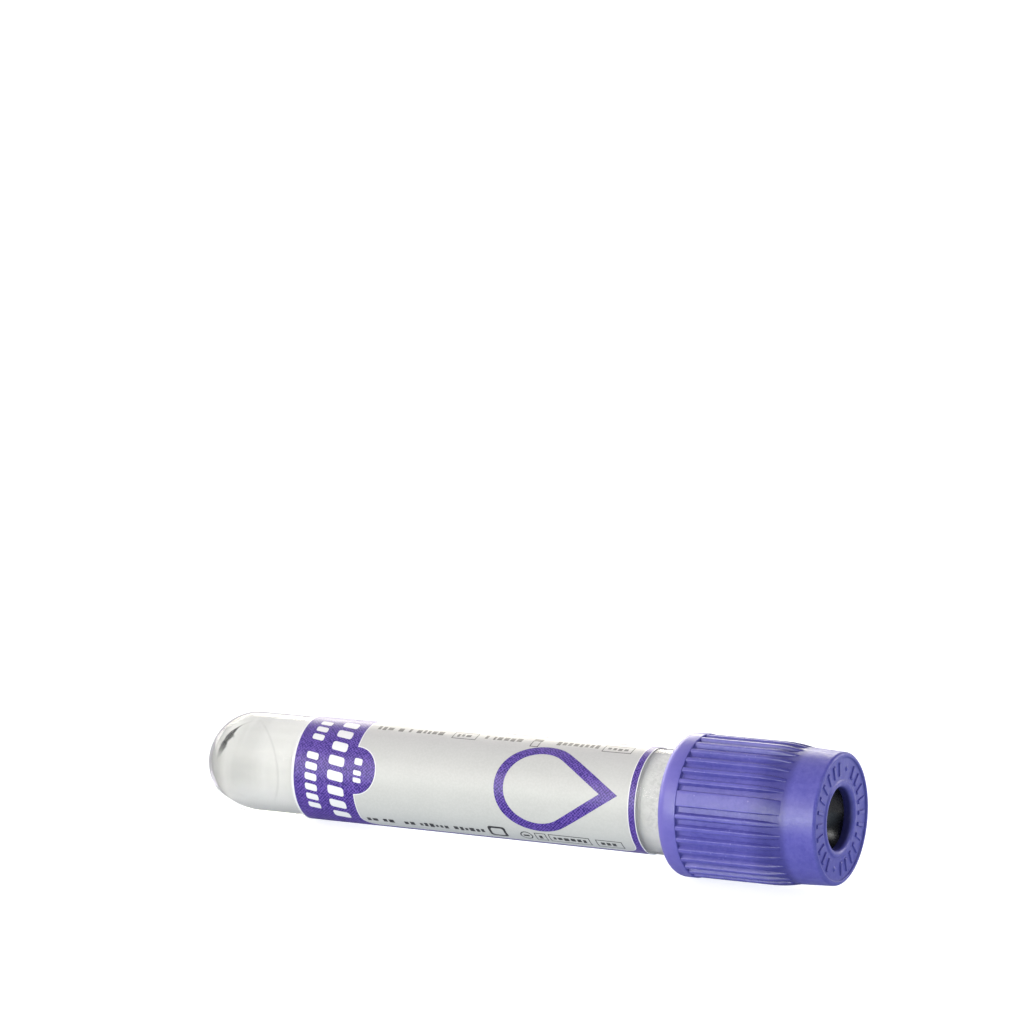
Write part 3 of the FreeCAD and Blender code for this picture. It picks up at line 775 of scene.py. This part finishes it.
BAND0, BAND1, STRIP0, STRIP1, BORDER0, BORDER1 = 14.72, 23.00, 60.84, 61.68, 10.20, 10.95
LINE, LOW0, LOW1 = 0.12, 8.85, 9.70
rect(LABEL_S0, -HALF_U, LABEL_S1, HALF_U, PAPER)
rect(BAND0, -HALF_U, BAND1, HALF_U, INK)
rect(STRIP0, -HALF_U, STRIP1, HALF_U, INK)
rect(BAND1 - 0.01, -BORDER1, STRIP0 + 0.01, LOW1, INK)
rect(BAND1, -BORDER0, STRIP0, LOW0, PAPER, 2.0, 10)
rect(BAND1 + LINE, -BORDER0 + LINE, STRIP0 - LINE, LOW0 - LINE, GREY, 1.88, 10)
disc(BAND1, 0.0, 3.07 + LINE, PAPER, 72)
disc(BAND1, 0.0, 3.07, INK, 72)
rect(BAND1 - 3.4, -3.4, BAND1 + 0.004, 3.4, INK)
# plain marks in the purple band
for i in range(8):
    y = (i - 3.5) * 1.92
    rect(19.45, y - 0.60, 21.65, y + 0.60, PAPER, 0.34, 4, 0.16)
for i, y in enumerate([-6.7, -5.35, -4.0, -1.35, 0.0, 1.35, 2.7, 4.05, 5.4]):
    rect(16.30, y - 0.44, 17.95, y + 0.44, PAPER, 0.26, 4, 0.16)
for y, w in ((-1.10, 0.42), (0.32, 0.30), (1.24, 0.30)):
    rect(23.05, y - w, 24.15, y + w, PAPER, 0.2, 4, 0.12)
# small marks along the panel's borders
rng = np.random.RandomState(11)


def ticks(x0, x1, y0, y1, m=BLACK):
    x = x0
    while x < x1 - 0.3:
        w = 0.34 + 0.40 * rng.rand()
        lo, hi = y0 + 0.18 * rng.rand(), y1 - 0.18 * rng.rand()
        rect(x, lo, min(x + w, x1), hi, m)
        x += w + 0.24 + (0.5 if rng.rand() < 0.16 else 0.0)


def frame_box(x0, y0, x1, y1, line=0.13, fill=None, m=BLACK):
    rect(x0, y0, x1, y1, m)
    rect(x0 + line, y0 + line, x1 - line, y1 - line, GREY)
    if fill:
        a, b = fill
        ticks(x0 + a, x1 - a, y0 + b, y1 - b, m)


ticks(24.3, 27.9, -7.35, -6.35)
ticks(28.6, 33.9, -7.35, -6.35)
frame_box(34.75, -7.62, 38.05, -6.00, fill=(0.55, 0.42))
ticks(39.1, 44.7, -7.45, -6.40)
frame_box(45.60, -7.35, 46.75, -5.75)
rect(45.60, -7.75, 46.85, -7.05, BLACK)
ticks(48.9, 54.6, -7.60, -6.55)
frame_box(55.25, -7.72, 59.25, -6.08, fill=(0.6, 0.42))
rect(40.2, -9.85, 46.5, -9.25, BLACK)
ticks(23.9, 28.2, 6.72, 7.62)
ticks(29.1, 35.2, 6.72, 7.62)
ticks(36.0, 40.2, 6.72, 7.62)
rect(40.9, 5.9, 43.3, 8.1, BLACK, 0.4, 4)
rect(41.25, 6.25, 42.95, 7.75, GREY, 0.3, 4)
disc(46.0, 7.15, 0.85, BLACK, 28)
disc(46.0, 7.15, 0.68, GREY, 28)
rect(45.6, 6.95, 46.4, 7.35, BLACK)
frame_box(47.2, 6.35, 48.75, 8.05, fill=(0.5, 0.45))
frame_box(49.1, 6.35, 54.7, 8.05, fill=(0.55, 0.45))
frame_box(55.5, 6.45, 59.1, 8.10, fill=(0.6, 0.45))
# a plain drop in thick outline
drop(48.4, 5.9, 59.3, INK)
drop(48.4, 4.6, 56.8, GREY)


def make_label():
    pts, edges = [], []

    def chain(p, closed=True):
        base = len(pts)
        pts.extend(Vector((float(a), float(b))) for a, b in p)
        n = len(p)
        for i in range(n if closed else n - 1):
            edges.append((base + i, base + (i + 1) % n))

    for p, _ in shapes:
        chain(p)
    lanes = 128
    for i in range(1, lanes):
        y = -HALF_U + 2 * HALF_U * i / lanes
        chain([(LABEL_S0, y), (LABEL_S1, y)], False)
    for x in np.linspace(LABEL_S0, LABEL_S1, 13)[1:-1]:
        chain([(x, -HALF_U), (x, HALF_U)], False)
    co, _, tri, *_ = delaunay_2d_cdt(pts, edges, [], 0, 1e-5)
    co = np.array([(v[0], v[1]) for v in co])
    co[:, 0] = np.clip(co[:, 0], LABEL_S0, LABEL_S1)
    co[:, 1] = np.clip(co[:, 1], -HALF_U, HALF_U)
    tri = np.array([t for t in tri if len(t) == 3])
    e1, e2 = co[tri[:, 1]] - co[tri[:, 0]], co[tri[:, 2]] - co[tri[:, 0]]
    area = e1[:, 0] * e2[:, 1] - e1[:, 1] * e2[:, 0]
    tri, area = tri[np.abs(area) > 1e-9], area[np.abs(area) > 1e-9]
    tri[area < 0] = tri[area < 0][:, ::-1]
    mid = co[tri].mean(1)
    mat = np.zeros(len(tri), int)
    for p, m in shapes:
        q = np.array(p)
        x0, y0, x1, y1 = q[:, 0].min(), q[:, 1].min(), q[:, 0].max(), q[:, 1].max()
        near = np.where((mid[:, 0] >= x0) & (mid[:, 0] <= x1) & (mid[:, 1] >= y0) & (mid[:, 1] <= y1))[0]
        inside = np.zeros(len(near), bool)
        px, py = mid[near, 0], mid[near, 1]
        for (ax, ay), (bx, by) in zip(q, np.roll(q, -1, 0)):
            cross = (ay > py) != (by > py)
            with np.errstate(divide="ignore", invalid="ignore"):
                xx = (bx - ax) * (py - ay) / (by - ay) + ax
            inside ^= cross & (px < xx)
        mat[near[inside]] = m
    th = math.radians(LABEL_MID) + co[:, 1] / 6.5
    n = len(co)
    top = world(co[:, 0], outer_r(co[:, 0]) + LABEL_T, th)
    low = world(co[:, 0], outer_r(co[:, 0]) + 0.012, th)
    normal = (np.cos(th)[:, None] * SIDE + np.sin(th)[:, None] * UP) - 0.0033 * AX
    normal /= np.linalg.norm(normal, axis=1)[:, None]
    # the boundary, for the film's cut edge
    count = {}
    for t in tri:
        for a, b in ((t[0], t[1]), (t[1], t[2]), (t[2], t[0])):
            count[(a, b)] = count.get((a, b), 0) + 1
    rim = [(a, b) for (a, b) in count if (b, a) not in count]
    faces = [tuple(int(x) for x in t) for t in tri] + [tuple(int(x) + n for x in t[::-1]) for t in tri]
    fm = list(mat) + [PAPER] * len(tri)
    v = [*top, *low]
    nv = [*normal, *(-normal)]
    for a, b in rim:
        d = co[b] - co[a]
        out = np.array([d[1], -d[0]])
        out /= np.linalg.norm(out)
        tm = 0.5 * (th[a] + th[b])
        w = out[0] * AX + out[1] * (-np.sin(tm) * SIDE + np.cos(tm) * UP)
        base = len(v)
        v += [top[a], low[a], low[b], top[b]]
        nv += [w] * 4
        faces.append((base, base + 1, base + 2, base + 3))
        fm.append(PAPER)
    v = np.array(v)
    me = bpy.data.meshes.new("label_film")
    # outward: the first triangle's own normal decides
    a, b, c = (v[i] for i in faces[0])
    if np.dot(np.cross(b - a, c - a), nv[faces[0][0]]) < 0:
        faces = [f[::-1] for f in faces]
    me.from_pydata([tuple(p) for p in v], [], faces)
    me.update()
    for m in (M_WHITE, M_PANEL, M_PURPLE, M_BLACK):
        me.materials.append(m)
    me.polygons.foreach_set("material_index", np.array(fm, np.int32))
    me.shade_smooth()
    me.normals_split_custom_set_from_vertices([tuple(x) for x in nv])
    ob = bpy.data.objects.new("label_film", me)
    bpy.context.scene.collection.objects.link(ob)
    return ob


label = make_label()

# ------------------------------------------------------------------ bodies
for piece, node, body, slot in ((tube, "tube", "tube_body", "clear_plastic"), (label, "label", "tube_body", "label_film"),
                                (cap, "cap", "closure", "cap_plastic"), (stopper, "stopper", "closure", "stopper_rubber")):
    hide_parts(node)
    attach(piece, body)

# ------------------------------------------------------------------ studio
scene = bpy.context.scene
me = bpy.data.meshes.new("studio_floor")
bm = bmesh.new()
bmesh.ops.create_grid(bm, x_segments=8, y_segments=8, size=12.0)
bm.to_mesh(me)
bm.free()
t = Tree("studio_floor_white")
cloud = t.noise(2.0, 3.0, 0.5)
path = t.nt.nodes.new("ShaderNodeLightPath")
pale = t.mix(t.remap(cloud, 0.3, 0.7), (0.49, 0.50, 0.51), (0.51, 0.52, 0.53))
t.put(t.bsdf.inputs["Base Color"], t.mix(path.outputs["Is Transmission Ray"], pale, (0.32, 0.325, 0.33)))
t.set(Roughness=0.9, IOR=1.3)
t.bsdf.inputs["Emission Color"].default_value = (0.98, 0.99, 1.0, 1.0)
sep = t.nt.nodes.new("ShaderNodeSeparateXYZ")
t.link(t.coord, sep.inputs[0])
far = t.remap(sep.outputs["Y"], 0.012, 0.035, 0.0, 0.5, smooth=True)
glow = t.math("MULTIPLY", path.outputs["Is Camera Ray"], 0.78)
t.put(t.bsdf.inputs["Emission Strength"], t.math("ADD", glow, t.math("MULTIPLY", t.math("SUBTRACT", path.outputs["Is Glossy Ray"], path.outputs["Is Transmission Ray"], clamp=True), far)))
me.materials.append(t.mat)
floor = bpy.data.objects.new("studio_floor", me)
floor.visible_diffuse = False      # the light from below comes from the world's lower half
floor.visible_shadow = False
scene.collection.objects.link(floor)

w = bpy.data.worlds.new("studio_world")
scene.world = w
w.use_nodes = True
nt = w.node_tree
nt.nodes.clear()
wout = nt.nodes.new("ShaderNodeOutputWorld")
tc = nt.nodes.new("ShaderNodeTexCoord")


def wmap(x, a, b, lo, hi):
    n = nt.nodes.new("ShaderNodeMapRange")
    n.clamp = True
    n.interpolation_type = "SMOOTHSTEP"
    for k, y in zip(("From Min", "From Max", "To Min", "To Max"), (a, b, lo, hi)):
        n.inputs[k].default_value = y
    nt.links.new(x, n.inputs["Value"])
    return n.outputs["Result"]


def wmath(op, a, b):
    n = nt.nodes.new("ShaderNodeMath")
    n.operation = op
    for i, x in enumerate((a, b)):
        if isinstance(x, float):
            n.inputs[i].default_value = x
        else:
            nt.links.new(x, n.inputs[i])
    return n.outputs[0]


def lobe(azimuth, elevation, amount):
    """A broad soft source round one direction."""
    a, e = math.radians(azimuth), math.radians(elevation)
    n = nt.nodes.new("ShaderNodeVectorMath")
    n.operation = "DOT_PRODUCT"
    n.inputs[1].default_value = (math.cos(e) * math.cos(a), math.cos(e) * math.sin(a), math.sin(e))
    nt.links.new(tc.outputs["Generated"], n.inputs[0])
    return wmap(n.outputs["Value"], 0.0, 0.9, 0.0, amount)


def backdrop(colour, strength):
    n = nt.nodes.new("ShaderNodeBackground")
    n.inputs["Color"].default_value = colour
    if isinstance(strength, float):
        n.inputs["Strength"].default_value = strength
    else:
        nt.links.new(strength, n.inputs["Strength"])
    return n.outputs[0]


def either(kind, a, b):
    n = nt.nodes.new("ShaderNodeMixShader")
    nt.links.new(path.outputs[kind], n.inputs[0])
    nt.links.new(a, n.inputs[1])
    nt.links.new(b, n.inputs[2])
    return n.outputs[0]


path = nt.nodes.new("ShaderNodeLightPath")
both = nt.nodes.new("ShaderNodeAddShader")
nt.links.new(backdrop((1.0, 0.93, 1.07, 1.0), lobe(180.0, 10.0, 1.53)), both.inputs[0])
nt.links.new(backdrop((0.82, 0.97, 1.15, 1.0), lobe(0.0, -30.0, 1.25)), both.inputs[1])
through = either("Is Transmission Ray", both.outputs[0], backdrop((0.97, 0.985, 1.0, 1.0), 0.55))
nt.links.new(either("Is Camera Ray", through, backdrop((0.98, 0.99, 1.0, 1.0), 1.0)), wout.inputs["Surface"])


def softbox(name, azimuth, elevation, distance, size, power, colour=(1, 1, 1), target=(0.0, 0.0, 0.01)):
    """An area light at a world azimuth (degrees from +X towards +Y) and elevation, aimed at the object."""
    light = bpy.data.lights.new(name, "AREA")
    light.shape = "RECTANGLE"
    light.size, light.size_y = size
    light.energy = power
    light.color = colour
    ob = bpy.data.objects.new(name, light)
    a, e = math.radians(azimuth), math.radians(elevation)
    d = Vector((math.cos(e) * math.cos(a), math.cos(e) * math.sin(a), math.sin(e)))
    ob.location = Vector(target) + d * distance
    ob.rotation_mode = "QUATERNION"
    ob.rotation_quaternion = d.to_track_quat("Z", "Y")
    scene.collection.objects.link(ob)
    return ob


softbox("key_box", -121.0, 27.0, 1.3, (0.5, 0.4), 5.3, (1.0, 0.90, 0.86))
softbox("front_box", -98.0, 9.0, 1.3, (0.7, 0.3), 17.5, (0.96, 1.0, 0.90))
softbox("left_box", 165.0, 8.0, 1.3, (0.9, 0.25), 5.9, (1.0, 0.98, 0.91))
softbox("back_left_box", 130.0, 20.0, 1.4, (0.9, 0.5), 10.8, (1.0, 0.97, 0.80))
softbox("back_box", 90.0, 14.0, 1.4, (1.6, 0.5), 3.7)
softbox("back_right_box", 50.0, 20.0, 1.4, (0.9, 0.5), 9.2, (0.91, 0.84, 1.0))
softbox("right_top_box", -22.0, 57.0, 1.3, (0.4, 0.4), 2.6)

# camera at the photograph's viewing angle
az, el, roll = math.radians(-63.36809), math.radians(13.57131), math.radians(0.29913)
focal_px, dist = 6613.327, 0.8052505
target = Vector((-0.0016172686, 0.0, 0.042487598))
away = Vector((math.cos(el) * math.cos(az), math.cos(el) * math.sin(az), math.sin(el)))
fwd = -away
right = fwd.cross(Vector((0, 0, 1))).normalized()
upv = right.cross(fwd)
r2 = math.cos(roll) * right + math.sin(roll) * upv
u2 = -math.sin(roll) * right + math.cos(roll) * upv
cam_data = bpy.data.cameras.new("camera")
cam_data.sensor_width = 36.0
cam_data.lens = focal_px * 36.0 / 1024.0
cam_data.clip_start, cam_data.clip_end = 0.01, 60.0
camera = bpy.data.objects.new("camera", cam_data)
m = Matrix.Identity(4)
for i in range(3):
    m[i][0], m[i][1], m[i][2] = r2[i], u2[i], away[i]
    m[i][3] = (target + away * dist)[i]
camera.matrix_world = m
scene.collection.objects.link(camera)
scene.camera = camera
scene.view_settings.view_transform = "Standard"

bpy.context.view_layer.update()
